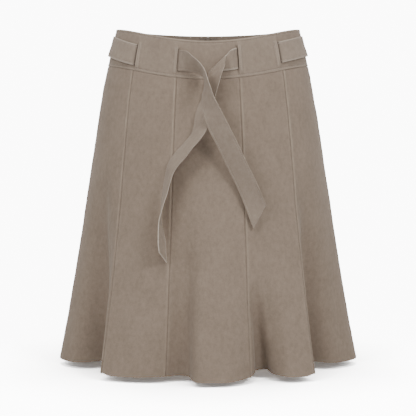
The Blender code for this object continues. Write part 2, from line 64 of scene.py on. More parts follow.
# line, angle at the waist, angle at the hem, level where it starts, how far it stands out, drop
folds = (
    ("seamBack", -180.0, -180.0, 0.26, 0.012, 0.002),
    ("valley", -163.0, -163.0, 0.26, -0.024, 0.000),
    ("rise", -151.0, -149.0, 0.24, -0.004, 0.000),
    ("seamBackLeft", -134.0, -137.0, 0.24, 0.018, 0.002),
    ("valley", -122.0, -125.0, 0.26, -0.036, -0.002),
    ("rise", -107.0, -108.0, 0.22, -0.014, 0.000),
    ("seamSideLeft", -91.0, -91.0, 0.20, 0.002, 0.000),
    ("rise", -75.0, -74.0, 0.20, -0.014, 0.000),
    ("valley", -58.0, -55.5, 0.22, -0.049, -0.003),
    ("flank", -52.0, -47.5, 0.26, -0.030, -0.002),
    ("seamOuterLeft", -46.3, -40.5, 0.26, 0.014, 0.001),
    ("ridge", -32.0, -30.0, 0.26, 0.012, 0.001),
    ("seamInnerLeft", -17.3, -15.6, 0.24, -0.004, 0.000),
    ("valley", -10.0, -10.5, 0.24, -0.012, 0.000),
    ("ridge", -2.0, -2.0, 0.24, 0.022, 0.003),
    ("ridge", 5.0, 5.0, 0.24, 0.022, 0.003),
    ("seamInnerRight", 17.3, 15.6, 0.34, -0.002, 0.000),
    ("valley", 20.0, 20.5, 0.38, -0.036, -0.003),
    ("flank", 23.0, 25.0, 0.38, -0.028, -0.002),
    ("ridge", 31.0, 31.0, 0.30, 0.014, 0.001),
    ("seamOuterRight", 46.3, 40.0, 0.26, 0.017, 0.001),
    ("flank", 52.0, 45.0, 0.26, -0.034, -0.002),
    ("valley", 58.0, 53.0, 0.24, -0.047, -0.003),
    ("rise", 75.0, 72.0, 0.20, -0.020, 0.000),
    ("seamSideRight", 90.0, 90.0, 0.20, 0.002, 0.000),
    ("rise", 107.0, 108.0, 0.22, -0.014, 0.000),
    ("valley", 122.0, 124.0, 0.26, -0.036, -0.002),
    ("seamBackRight", 134.0, 136.0, 0.24, 0.018, 0.002),
    ("rise", 151.0, 150.0, 0.24, -0.006, 0.000),
    ("valley", 163.0, 164.0, 0.26, -0.022, 0.000),
    ("seamBackEnd", 180.0, 180.0, 0.26, 0.012, 0.002),
)
foldNames = [row[0] for row in folds]
foldAtWaist, foldAtHem, foldStarts, foldOut, foldDrop = np.array([row[1:] for row in folds]).T

# the middle of the sash and of the slits: angle, level
sashLine = np.array((
    (-180.0, 0.0300),
    (-90.0, 0.0275),
    (-45.3, 0.0355),
    (-17.2, 0.0330),
    (17.2, 0.0300),
    (45.3, 0.0315),
    (90.0, 0.0275),
    (180.0, 0.0300),
))


def monotone(xs, ys, x, levelEnds=False):
    steps = np.diff(ys) / np.diff(xs)
    both = steps[:-1] * steps[1:]
    slopes = np.zeros(len(xs))
    with np.errstate(divide="ignore", invalid="ignore"):
        slopes[1:-1] = np.where(both > 0, 2 * both / (steps[:-1] + steps[1:]), 0.0)
    if not levelEnds:
        slopes[0], slopes[-1] = steps[0], steps[-1]
    x = np.clip(x, xs[0], xs[-1])
    i = np.clip(np.searchsorted(xs, x) - 1, 0, len(xs) - 2)
    span = xs[i + 1] - xs[i]
    t = (x - xs[i]) / span
    return (
        ys[i] * (1 + 2 * t) * (1 - t) ** 2
        + slopes[i] * span * t * (1 - t) ** 2
        + ys[i + 1] * t * t * (3 - 2 * t)
        + slopes[i + 1] * span * t * t * (t - 1)
    )


def smoothStep(t):
    t = np.clip(t, 0.0, 1.0)
    return t * t * (3 - 2 * t)


def bell(x, width):
    return np.exp(-((x / width) ** 2))


def fallAway(x, start, width):
    # 1 up to start, 0 from start + width on
    return 1 - smoothStep((x - start) / width)


def belowBand(levels):
    # 0 at the waist seam, 1 at the hem
    down = (levels - form["bandHeight"]) / (form["sideLength"] - form["bandHeight"])
    return np.clip(down, 0.0, 1.0)


def lineAngles(level):
    return foldAtWaist + (foldAtHem - foldAtWaist) * belowBand(level)


def foldShift(angles, levels, reach):
    # a row of the grid lies at one level wherever there are folds
    shift = np.zeros(angles.shape)
    for r in range(len(angles)):
        level = float(levels[r].max())
        if level <= form["foldsFrom"]:
            continue
        grown = np.clip(level - foldStarts, 0.0, None) / (form["sideLength"] - foldStarts)
        turned = (angles[r] + 180.0) % 360.0 - 180.0
        shift[r] = monotone(lineAngles(level), reach * grown ** form["sharpness"], turned, True)
    return shift


def skin(angles, levels):
    a = monotone(ovals[:, 0], ovals[:, 1], levels)
    b = monotone(ovals[:, 0], ovals[:, 2], levels)
    s, c = np.sin(np.radians(angles)), np.cos(np.radians(angles))
    out = foldShift(angles, levels, foldOut) / np.hypot(s / a, c / b)
    x = a * s + out * s / a
    y = -b * c - out * c / b
    top = -form["frontDip"] * np.clip(c, 0, None) ** 3 - form["backDip"] * np.clip(-c, 0, None) ** 2
    waist = top - form["bandHeight"]
    drop = foldShift(angles, np.full(levels.shape, form["sideLength"]), foldDrop)
    skirtZ = waist + (-form["sideLength"] - drop - waist) * belowBand(levels)
    z = np.where(levels <= form["bandHeight"], top - levels, skirtZ)
    return np.stack([x, y, z], axis=-1)


def skinFrame(angles, levels):
    # the points, the outward normals and the direction round the skirt
    turn, step = 0.15, 0.0015
    around = skin(angles + turn, levels) - skin(angles - turn, levels)
    lower = np.clip(levels + step, 0.0, form["sideLength"])
    upper = np.clip(levels - step, 0.0, form["sideLength"])
    normals = np.cross(skin(angles, lower) - skin(angles, upper), around)
    normals /= np.linalg.norm(normals, axis=-1, keepdims=True)
    around /= np.linalg.norm(around, axis=-1, keepdims=True)
    return skin(angles, levels), normals, around


def gridNormals(points):
    normals = np.cross(np.gradient(points, axis=0), np.gradient(points, axis=1))
    return normals / np.linalg.norm(normals, axis=-1, keepdims=True)


def runLength(points, axis):
    steps = np.linalg.norm(np.diff(points, axis=axis), axis=-1)
    return np.concatenate([np.zeros_like(steps.take([0], axis)), np.cumsum(steps, axis)], axis)


def toNearer(run):
    return np.minimum(run, run[:, -1:] - run)


def unevenness(points, size, seed):
    # soft random rise and fall, -1 to 1, with features of this size
    place = points.reshape(-1, 3) / size
    made = [noise.noise(Vector(p) + Vector((seed, 0.0, 0.0))) for p in place]
    return np.array(made).reshape(points.shape[:-1])


def degreesFor(distance, angle, level=0.031):
    ends = skin(np.array([[angle - 0.5, angle + 0.5]]), np.array([[level, level]]))[0]
    return distance / float(np.linalg.norm(ends[1] - ends[0]))


def toLinear(hexCode):
    parts = [int(hexCode[i : i + 2], 16) / 255 for i in (1, 3, 5)]
    return tuple(p / 12.92 if p <= 0.04045 else ((p + 0.055) / 1.055) ** 2.4 for p in parts) + (1.0,)


def addNode(tree, kind, settings=None, links=None):
    # settings: socket or property to value, links: socket to the output that feeds it
    made = tree.nodes.new(kind)
    for name, value in (settings or {}).items():
        if isinstance(name, str) and hasattr(made, name):
            setattr(made, name, value)
        else:
            made.inputs[name].default_value = value
    for name, source in (links or {}).items():
        tree.links.new(source, made.inputs[name])
    return made


def newMaterial(name):
    made = bpy.data.materials.new(name)
    made.use_nodes = True
    tree = made.node_tree
    tree.nodes.clear()
    place = addNode(tree, "ShaderNodeTexCoord").outputs["Object"]
    return made, tree, place


def addNoise(tree, place, size, **settings):
    settings["Scale"] = 1 / size
    return addNode(tree, "ShaderNodeTexNoise", settings, {"Vector": place}).outputs[0]


def mixColours(tree, amount, first, second):
    # first and second: a colour, or the output that gives one
    given = {6: first, 7: second}
    settings = {k: v for k, v in given.items() if isinstance(v, tuple)}
    links = {k: v for k, v in given.items() if k not in settings}
    settings["data_type"] = "RGBA"
    return addNode(tree, "ShaderNodeMix", settings, {0: amount, **links}).outputs[2]


def mapRange(tree, source, limits, kind="LINEAR"):
    # limits: from low, from high, to low, to high
    settings = {"interpolation_type": kind, **dict(enumerate(limits, 1))}
    return addNode(tree, "ShaderNodeMapRange", settings, {0: source}).outputs[0]


def addBump(tree, height, strength, distance):
    settings = {"Strength": strength, "Distance": distance}
    return addNode(tree, "ShaderNodeBump", settings, {"Height": height}).outputs[0]


def coverWith(tree, shader, settings, links):
    made = addNode(tree, shader, settings, links)
    addNode(tree, "ShaderNodeOutputMaterial", {}, {0: made.outputs[0]})


def suede(name, mainHex, darkHex, lightHex):
    # brushed microfibre suede: matt, faintly mottled where the nap lies either way, paler where rubbed;
    # painted highlight on ridges and rims, painted shade at slits, grooves and seams
    made, tree, place = newMaterial(name)
    long = addNode(tree, "ShaderNodeMapping", {"Scale": (1.0, 1.0, 0.75)}, {0: place}).outputs[0]
    # strokes of the nap about 40 mm long, blotches of 6 mm, and fibre tufts of 1.6 mm,
    # drawn coarser than the 0.3 mm of the real fibres so that they show
    strokes = addNoise(tree, long, 0.040, Detail=4.0, Roughness=0.6, Distortion=0.3)
    blotches = addNoise(tree, long, 0.006, Detail=3.0, Roughness=0.6)
    tufts = addNoise(tree, place, 0.0016, Detail=2.0, Roughness=0.7)
    nap = addNode(tree, "ShaderNodeMath", {"operation": "MULTIPLY", 1: 0.40}, {0: blotches})
    for source, amount in ((strokes, 0.24), (tufts, 0.25)):
        settings = {"operation": "MULTIPLY_ADD", 1: amount}
        nap = addNode(tree, "ShaderNodeMath", settings, {0: source, 2: nap.outputs[0]})
    shade = mapRange(tree, nap.outputs[0], (0.30, 0.60, 0.0, 1.0))
    base = mixColours(tree, shade, toLinear(darkHex), toLinear(mainHex))
    # the pale colour: wear, and a painted highlight along seam ridges, edges and rims
    rubbedAndHighlight = addNode(tree, "ShaderNodeAttribute", {"attribute_name": "rubbedAndHighlight"})
    wornAndHighlit = mixColours(tree, rubbedAndHighlight.outputs["Fac"], base, toLinear(lightHex))
    # the dark brown: dark seam joints, and painted shade on the slit lips, a stitch groove and the sash
    # under the slits' covering edges
    pressedAndShade = addNode(tree, "ShaderNodeAttribute", {"attribute_name": "pressedAndShade"})
    seamedAndShaded = mixColours(tree, pressedAndShade.outputs["Fac"], wornAndHighlit, toLinear("#4f453d"))
    coverWith(
        tree, "ShaderNodeBsdfPrincipled",
        {"Roughness": 0.95, "Specular IOR Level": 0.2, "Sheen Weight": 0.25, "Sheen Roughness": 0.45,
         "Sheen Tint": toLinear("#d8cfc6")},
        {"Base Color": seamedAndShaded, "Normal": addBump(tree, nap.outputs[0], 0.35, 0.0006)},
    )
    return made


def spunThread(name, hexCode):
    # polyester sewing thread: two plies twisted, a soft shine on each stitch
    made, tree, place = newMaterial(name)
    plies = addNoise(tree, place, 0.0006, Detail=1.0)
    tint = mapRange(tree, plies, (0.3, 0.7, 0.85, 1.0))
    colour = mixColours(tree, tint, (0.0, 0.0, 0.0, 1.0), toLinear(hexCode))
    settings = {"Roughness": 0.6, "Sheen Weight": 0.2}
    coverWith(tree, "ShaderNodeBsdfPrincipled", settings, {"Base Color": colour})
    return made


def wovenTape(name, hexCode):
    # polyester zip tape: a twill whose ribs slant across the tape, 1.8 mm apart
    made, tree, place = newMaterial(name)
    ribs = addNode(
        tree, "ShaderNodeTexWave",
        {"bands_direction": "DIAGONAL", "Scale": 199.045, "Distortion": 0.4},
        {"Vector": place},
    ).outputs[0]
    colour = mixColours(tree, ribs, toLinear("#6f6359"), toLinear(hexCode))
    links = {"Base Color": colour, "Normal": addBump(tree, ribs, 0.4, 0.0003)}
    coverWith(tree, "ShaderNodeBsdfPrincipled", {"Roughness": 0.8}, links)
    return made


def enamelledZinc(name, hexCode):
    # die-cast zinc with a baked satin enamel dyed to the cloth, faint orange peel
    made, tree, place = newMaterial(name)
    peel = addNoise(tree, place, 0.0007, Detail=1.0)
    gloss = mapRange(tree, peel, (0.3, 0.7, 0.32, 0.44))
    coverWith(
        tree, "ShaderNodeBsdfPrincipled",
        {"Base Color": toLinear(hexCode), "Coat Weight": 0.3, "Coat Roughness": 0.25},
        {"Roughness": gloss, "Normal": addBump(tree, peel, 0.15, 0.0001)},
    )
    return made


# main colour, the darker one where the nap lies down, the lighter one where it is rubbed and for the
# painted highlight on ridges and rims
looks = {
    "skirt": suede("brushedSuede", "#968677", "#827365", "#aa9b8a"),
    "waistband": suede("brushedSuedeBand", "#98897a", "#857669", "#b3a494"),
    "sash": suede("brushedSuedeSash", "#9e8f80", "#8b7c6f", "#d3c6b6"),
    "thread": spunThread("sewingThread", "#a39689"),
    "tape": wovenTape("zipTape", "#8b7e72"),
    "metal": enamelledZinc("satinEnamel", "#857a70"),
}


def addObject(name, data):
    made = bpy.data.objects.new(name, data)
    bpy.context.scene.collection.objects.link(made)
    return made


def shell(name, outer, inner, marks=None, holes=(), look="skirt"):
    # a closed wall between two grids, cells in holes are cut right through
    rows, cols = outer.shape[:2]
    solid = np.ones((rows - 1, cols - 1), bool)
    for r, c in holes:
        solid[r, c] = False
    index = np.arange(rows * cols).reshape(rows, cols)
    a, b, c, d = index[:-1, :-1], index[1:, :-1], index[1:, 1:], index[:-1, 1:]
    front = np.stack([a, b, c, d], -1)[solid]
    faces = [front, front[:, ::-1] + rows * cols]
    padded = np.zeros((rows + 1, cols + 1), bool)
    padded[1:-1, 1:-1] = solid
    back = rows * cols
    for shift, (p, q) in (((0, -1), (a, b)), ((1, 0), (b, c)), ((0, 1), (c, d)), ((-1, 0), (d, a))):
        beside = padded[1 + shift[0] : rows + shift[0], 1 + shift[1] : cols + shift[1]]
        rim = solid & ~beside
        faces.append(np.stack([q[rim], p[rim], p[rim] + back, q[rim] + back], -1))
    points = np.concatenate([outer.reshape(-1, 3), inner.reshape(-1, 3)])
    mesh = bpy.data.meshes.new(name)
    mesh.from_pydata(points.tolist(), [], np.concatenate(faces).tolist())
    for mark, values in (marks or {}).items():
        both = np.concatenate([values.ravel(), np.zeros(values.size)])  # none on the inside
        mesh.attributes.new(mark, "FLOAT", "POINT").data.foreach_set("value", both)
    bm = bmesh.new()
    bm.from_mesh(mesh)
    bmesh.ops.delete(bm, geom=[v for v in bm.verts if not v.link_faces], context="VERTS")
    bm.to_mesh(mesh)
    bm.free()
    mesh.shade_smooth()
    mesh.set_sharp_from_angle(angle=math.radians(55))
    mesh.materials.append(looks[look])
    return addObject(name, mesh)


def dress(piece, slotName, *nodes, **cut):
    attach(piece, "skirt")
    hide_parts(*nodes)


goreCut = {
    "rows": 118,
    "cols": 46,
    "wall": 0.0012,
    "seamGap": 0.0003,  # under the waistband
    "topRows": (-0.0016, -0.0008, -0.0001, 0.0002, 0.0006, 0.0012, 0.0024),  # from the waist seam
    "hemRows": (0.0018, 0.0009, 0.0003, 0.0),  # up from the hem
    "edgeGap": 0.00002,  # half the gap between two gores
    "slant": 0.0009,  # a seam's joint runs inwards at a slant, so no light passes
    "slantReach": 0.002,
    "puff": 0.00075,  # the cloth swells beside a seam, most where the allowances are pressed
    "lowPuff": 0.00025,
    "puffAt": 0.0026,
    "puffWidth": 0.0020,
    "pucker": (0.8, 0.014, 3.0),  # how much of the swelling, feature size, seed
    "flattens": (0.22, 0.14, 0.55),  # it is flatter where the gores flare: level, span, how much
    "groove": 0.00055,  # the cloth sinks into the seam
    "grooveWidth": 0.0007,
    "tuck": 0.0003,
    "tuckedBehind": 0.0004,  # the top is turned up behind the band, so no light passes between them
    "sways": ((0.0007, 0.075, 7.0), (0.0003, 0.022, 11.0)),  # height, feature size, seed
    "allowance": 0.011,  # pressed open inside
    "allowanceWall": 0.0009,
    "zipAngle": 172.0,  # no allowance lies between the zip's tape and the cloth
    "zipLevel": 0.185,
    "hemAllowance": 0.020,
    "turnedUp": 0.0009,
    "rolledHem": 0.0004,
    "standingLift": (0.0034, 0.009, 0.49, 0.051),  # height, width, level where it starts, span
}

# soft creases on top of the frame's folds: angle where each starts, angle at the hem, level where
# it starts, how far it sinks at the hem, how wide it is on either side in degrees
creases = (
    (-60.0, -57.0, 0.24, 0.019, 8.5, 4.5),
    (-10.0, -10.6, 0.32, 0.012, 4.5, 3.6),
    (-4.2, -4.2, 0.34, -0.0030, 2.2, 4.0),
    (19.0, 23.8, 0.37, 0.011, 2.4, 1.5),
    (22.5, 27.2, 0.37, -0.005, 1.6, 3.0),
    (16.0, 18.5, 0.42, -0.003, 2.0, 1.6),
    (49.5, 55.0, 0.22, 0.024, 4.5, 7.0),
    (-122.0, -126.0, 0.28, 0.010, 5.0, 7.0),
    (-160.0, -160.0, 0.34, 0.006, 5.0, 4.0),
    (-171.0, -171.0, 0.36, -0.003, 4.0, 3.0),
    (122.0, 125.0, 0.28, 0.010, 7.0, 5.0),
    (161.0, 162.0, 0.36, 0.007, 3.5, 4.5),
    (100.0, 101.0, 0.38, 0.004, 5.0, 5.0),
    (-99.0, -100.0, 0.40, 0.004, 5.0, 5.0),
)


def creaseDepth(angles, levels):
    depth = np.zeros(angles.shape)
    for start, end, level, sink, before, after in creases:
        grown = np.clip((levels - level) / (form["sideLength"] - level), 0.0, 1.0)
        off = angles - (start + (end - start) * grown)
        width = np.where(off < 0, before, after)
        depth += sink * grown**0.9 * bell(off, width)
    return depth


# node, seam on its left, seam on its right, how strongly its seam swells at the left and at the
# right, widest width, length, flat area
gores = (
    ("gore_front_centre", "seamInnerLeft", "seamInnerRight", 0, 0, 0.160, 0.472, 0.0569),
    ("gore_front_left", "seamOuterLeft", "seamInnerLeft", 0, 1, 0.107, 0.484, 0.0436),
    ("gore_front_right", "seamInnerRight", "seamOuterRight", 1, 0, 0.146, 0.484, 0.0450),
    ("gore_side_left", "seamSideLeft", "seamOuterLeft", 0, 1, 0.203, 0.490, 0.0692),
    ("gore_side_right", "seamOuterRight", "seamSideRight", 1, 0, 0.204, 0.490, 0.0683),
    ("gore_side_back_left", "seamBackLeft", "seamSideLeft", 0, 1, 0.183, 0.490, 0.0647),
    ("gore_side_back_right", "seamSideRight", "seamBackRight", 1, 0, 0.183, 0.490, 0.0653),
    ("gore_back_left", "seamBack", "seamBackLeft", 0, 1, 0.193, 0.489, 0.0744),
    ("gore_back_right", "seamBackRight", "seamBackEnd", 1, 1, 0.196, 0.489, 0.0751),
)


def seamSpread(count):
    # columns that close in on the two seams
    even = np.linspace(0.0, 1.0, count)
    return even * 0.45 + 0.55 * 0.5 * (1 - np.cos(np.pi * even))


def bandAbove(name):
    if "back" not in name:
        return "waistband_front"
    return name.replace("gore", "waistband").replace("side_back", "back")


def splitEdges(points, around, gap):
    # two pieces that meet leave a hair's breadth between them
    shift = np.zeros(points.shape[:2])
    shift[:, 0], shift[:, -1] = gap, -gap
    return points + around * shift[..., None]


def goreLevels():
    top, bottom = form["bandHeight"] + goreCut["seamGap"], form["sideLength"]
    above, below = np.array(goreCut["topRows"]), np.array(goreCut["hemRows"])
    body = np.linspace(top + 0.004, bottom - 0.003, goreCut["rows"] - len(above) - len(below))
    return np.concatenate([top + above, body, bottom - below])


def seamLean(name, atLeft, toSeam, edges):
    # the joints lean the same way on both sides of every seam
    lean = goreCut["slant"] * np.exp(-toSeam / goreCut["slantReach"])
    if name == "gore_front_centre":
        return lean * np.where(atLeft, 1.0, -1.0)
    if name == "gore_back_right":
        return lean * np.where(atLeft, -1.0, 1.0)
    return lean * np.where(edges.mean(axis=1, keepdims=True) < 0, 1.0, -1.0)


def standingLift(leftSeam, rightSeam, run, levels):
    # the hem lifts a little at the two standing seams of the front
    height, width, start, span = goreCut["standingLift"]
    lift = np.zeros(levels.shape)
    for seam, far in ((leftSeam, run), (rightSeam, run[:, -1:] - run)):
        if seam.startswith("seamOuter"):
            lift += height * bell(far, width) * smoothStep((levels - start) / span)
    return lift


def makeGore(name, leftSeam, rightSeam, leftRidge, rightRidge, width, length, area):
    cut = goreCut
    top, bottom = form["bandHeight"] + cut["seamGap"], form["sideLength"]
    seams = [foldNames.index(leftSeam), foldNames.index(rightSeam)]
    levels = goreLevels()
    share = seamSpread(cut["cols"])
    edges = np.array([lineAngles(level)[seams] for level in levels])
    angles = edges[:, :1] + (edges[:, 1:] - edges[:, :1]) * share
    levels = np.repeat(levels[:, None], len(share), axis=1)
    points, normals, around = skinFrame(angles, levels)
    run = runLength(points, 1)
    toSeam, toHem = toNearer(run), bottom - levels
    atLeft = run < run[:, -1:] - run
    behind = levels < top

    amount, size, seed = cut["pucker"]
    pucker = 0.9 + amount * unevenness(points, size, seed)
    start, span, flatter = cut["flattens"]
    ridge = np.where(atLeft, leftRidge, rightRidge) * (1 - flatter * smoothStep((levels - start) / span))
    puff = cut["lowPuff"] + (cut["puff"] - cut["lowPuff"]) * ridge
    swell = puff * bell(toSeam - cut["puffAt"], cut["puffWidth"]) * pucker * ~behind
    sunk = cut["groove"] * bell(toSeam, cut["grooveWidth"]) * ~behind
    tucked = cut["tuck"] * fallAway(levels, top, 0.003)
    tucked = np.where(behind, cut["wall"] + cut["tuckedBehind"], tucked)
    soft = sum(height * unevenness(points, size, seed) for height, size, seed in cut["sways"])
    soft *= smoothStep((levels - top) / 0.02)
    rolled = cut["rolledHem"] * fallAway(toHem, 0.0, 0.0009)
    sink = creaseDepth(angles, levels)
    rise = swell - sunk - tucked + soft - rolled - sink

    byZip = (np.abs(angles) > cut["zipAngle"]) & (levels < cut["zipLevel"])
    inside = cut["wall"] - soft + sink
    inside = inside + cut["allowanceWall"] * fallAway(toSeam, cut["allowance"], 0.001) * ~byZip
    inside = np.where(behind, cut["wall"] + cut["tuckedBehind"] + 0.00015, inside)
    inside = inside + cut["turnedUp"] * fallAway(toHem, cut["hemAllowance"], 0.001)

    shifted = splitEdges(points, around, cut["edgeGap"])
    outer = shifted + normals * rise[..., None]
    lean = seamLean(name, atLeft, toSeam, edges)
    inner = shifted - normals * inside[..., None] + around * lean[..., None]
    lift = standingLift(leftSeam, rightSeam, run, levels)
    outer[..., 2] += lift
    inner[..., 2] += lift

    # paler on the swell beside each seam and along the hem edge: partly wear, partly painted highlight
    rubbedAndHighlight = (0.10 + 0.40 * ridge) * bell(toSeam - cut["puffAt"], 0.0014) * np.clip(pucker, 0.3, 1.5)
    rubbedAndHighlight = rubbedAndHighlight + 0.4 * bell(toHem, 0.0014)
    # the seam line darker: the dark joint, with painted shade of its groove
    pressedAndShade = (0.22 + 0.16 * ridge) * bell(toSeam, 0.0006)
    marks = {"rubbedAndHighlight": np.clip(rubbedAndHighlight, 0, 1), "pressedAndShade": pressedAndShade}
    piece = shell(name.replace("gore", "panel"), outer, inner, marks)
    dress(piece, "skirt", name, flat=(width, length), area=area, held="hung", rests_on=[bandAbove(name)])
    downwards = runLength(points, 0)[-1].max()
    atWaist = run[len(cut["topRows"]), -1]
    sizes = (atWaist, run[:, -1].max(), downwards, measuredArea(points))
    print(name, "waist, widest, length, area:", *[round(float(v), 4) for v in sizes])


def measuredArea(points):
    across, down = np.diff(points, axis=1)[:-1], np.diff(points, axis=0)[:, :-1]
    return float(np.linalg.norm(np.cross(across, down), axis=-1).sum())


for row in gores:
    makeGore(*row)
print("gores done")

band = {
    "wall": 0.0015,
    "slitGap": 0.002,
    "slitLength": 0.0343,
    "frontSlit": 17.2,
    "sideSlit": 45.3,
    "fade": 0.015,  # how far from a slit the band and the sash still step apart
    "clear": 0.0003,
    "stitchIn": 0.0042,  # topstitching, in from the top and the lower edge
    "slitStitch": (0.0032, 0.0070),  # two rows, out from a slit
    "slitStitchHalf": 0.0195,  # half their length
    "seamSide": (-91.0, 90.0),
    # where the grid's lines crowd: from the top edge, from the lower edge, from a slit, in metres,
    # and from the ends, in degrees
    "topRows": (0.0, 0.0003, 0.0009, 0.0018, 0.0027, 0.0035, 0.0042, 0.0049, 0.006),
    "lowRows": (0.0056, 0.0049, 0.0042, 0.0035, 0.0028, 0.0020, 0.0012, 0.0006, 0.0002, 0.0),
    "slitRows": 13,
    "besideSlit": (
        0.0010, 0.0014, 0.0020, 0.0027, 0.0032, 0.0038, 0.0046, 0.0054,
        0.0063, 0.0070, 0.0077, 0.0087, 0.0105, 0.013, 0.015,
    ),
    "slitReach": 0.016,
    "ends": (0.0, 0.15, 0.35, 0.7),
    "groove": (0.00050, 0.0007),  # depth and width under a row of stitches
    "slitGroove": 0.0006,
    "lip": 0.0003,  # the edge of a slit turns in
    "pushed": (0.0008, 0.0035),  # the sash pushes the covering edge of a slit out: height, width
    "zipPart": 0.0012,  # the back edges part round the neck of the slider
}
sash = {
    "wall": 0.0015,
    "width": 0.033,
    "join": 31.0,  # where the lengths meet, out of sight
    "joinGap": 0.06,
    "stitchIn": 0.0030,
    "step": 0.0022,
    "acrossRows": (0.0, 0.0003, 0.0009, 0.0016, 0.0023, 0.0030, 0.0037, 0.0046, 0.0065, 0.0095, 0.013),
    "besideSlit": (0.001, 0.0017, 0.0027, 0.004, 0.006, 0.008, 0.0105, 0.013, 0.015),
    "endRows": (0.0004, 0.001, 0.0016),
    "groove": (0.00030, 0.0007),
    "rim": (0.00045, 0.0009),  # the rounded rim: depth and width
}


slits = (-band["sideSlit"], -band["frontSlit"], band["frontSlit"], band["sideSlit"])
degreesPerMetre = {slit: degreesFor(1.0, slit) for slit in slits}
liftOver = sash["wall"] / 2 + band["clear"] + band["wall"]
dipUnder = sash["wall"] / 2 + band["clear"]


def sashLevel(angles):
    return monotone(sashLine[:, 0], sashLine[:, 1], angles)


def slitFade(angles):
    nearest = np.min([np.abs(angles - slit) / degreesPerMetre[slit] for slit in slits], axis=0)
    half = band["slitGap"] / 2
    return 1.0 - smoothStep((nearest - half) / (band["fade"] - half))


def isCovered(angles):
    return (np.abs(angles) > band["frontSlit"]) & (np.abs(angles) < band["sideSlit"])


def bandOut(angles, levels):
    middle = sashLevel(angles)
    start = sash["width"] / 2 + 0.0005
    stop = np.minimum(middle, form["bandHeight"] - middle)
    upright = 1.0 - smoothStep((np.abs(levels - middle) - start) / (stop - start))
    return np.where(isCovered(angles), liftOver, -dipUnder) * slitFade(angles) * upright


def underCover(angles):
    # how far each place lies behind the covering edge of the nearest slit
    ways = [
        (angles - slit) / degreesPerMetre[slit] * math.copysign(1.0, slit)
        * (1.0 if abs(slit) == band["frontSlit"] else -1.0)
        for slit in slits
    ]
    return np.choose(np.argmin(np.abs(ways), axis=0), ways)


def sashOut(angles):
    away = 1.0 - slitFade(angles)
    dip = 0.0013 * bell(underCover(angles) - 0.0020, 0.0015)
    return np.where(isCovered(angles), -liftOver, dipUnder) * away - dip


def slitShadow(angles):
    # painted shadow on the sash where it runs under the covering edge of a slit, reaching further out at
    # the side slits
    atSide = np.abs(angles) > 35.0
    middle, width = np.where(atSide, -0.0012, 0.0012), np.where(atSide, 0.0022, 0.0016)
    return 0.95 * bell(underCover(angles) - middle, width)


def nearSlit(slit, distances):
    steps = np.array(distances) * degreesPerMetre[slit]
    return np.concatenate([slit - steps, slit + steps])


def bandRelief(levels, toEdge):
    # a lapped lower edge and a rolled top edge, each with a groove under its stitching
    toLow = form["bandHeight"] - levels
    depth, width = band["groove"]
    groove = bell(levels - band["stitchIn"], width) + bell(toLow - band["stitchIn"], width)
    puffed = 0.0003 * bell(levels - 0.0020, 0.0012) + 0.0004 * bell(toLow - 0.0022, 0.0014)
    rolled = 0.0006 * fallAway(levels, 0.0, 0.0009) + 0.0003 * fallAway(toLow, 0.0, 0.0007)
    side = 0.0007 * bell(toEdge, 0.0009)
    return puffed - depth * groove - rolled - side


def bandMarks(levels, toEdge):
    toLow = form["bandHeight"] - levels
    # paler along the rolled top edge and the lapped lower edge: partly wear, partly painted highlight;
    # darker at each piece's ends, the dark joints
    rubbedAndHighlight = 0.16 * bell(toLow - 0.0018, 0.0018) + 0.35 * bell(levels, 0.0020)
    return rubbedAndHighlight, 0.5 * bell(toEdge, 0.0009)


def frontAngles():
    low, high = band["seamSide"]
    ends = np.array(band["ends"])
    reach = [band["slitReach"] * degreesPerMetre[slit] for slit in slits]
    spans = [(low + ends[3], slits[0] - reach[0]), (slits[3] + reach[3], high - ends[3])]
    spans += [(slits[k] + reach[k], slits[k + 1] - reach[k + 1]) for k in range(3)]
    parts = [nearSlit(slit, band["besideSlit"]) for slit in slits]
    parts += [np.linspace(a, b, max(3, round((b - a) / 1.4))) for a, b in spans]
    parts += [low + ends[:3], high - ends[:3]]
    return np.sort(np.concatenate(parts))


def frontLevels(angles):
    # the rows in the middle follow the slits
    start = sashLevel(angles) - band["slitLength"] / 2
    end = start + band["slitLength"]
    rows = [np.full(len(angles), level) for level in band["topRows"] + (0.0080,)]
    rows.append(0.5 * (start + 0.0080))
    rows += [start + (end - start) * t for t in np.linspace(0, 1, band["slitRows"])]
    rows += [np.full(len(angles), form["bandHeight"] - v) for v in band["lowRows"]]
    return np.array(rows)


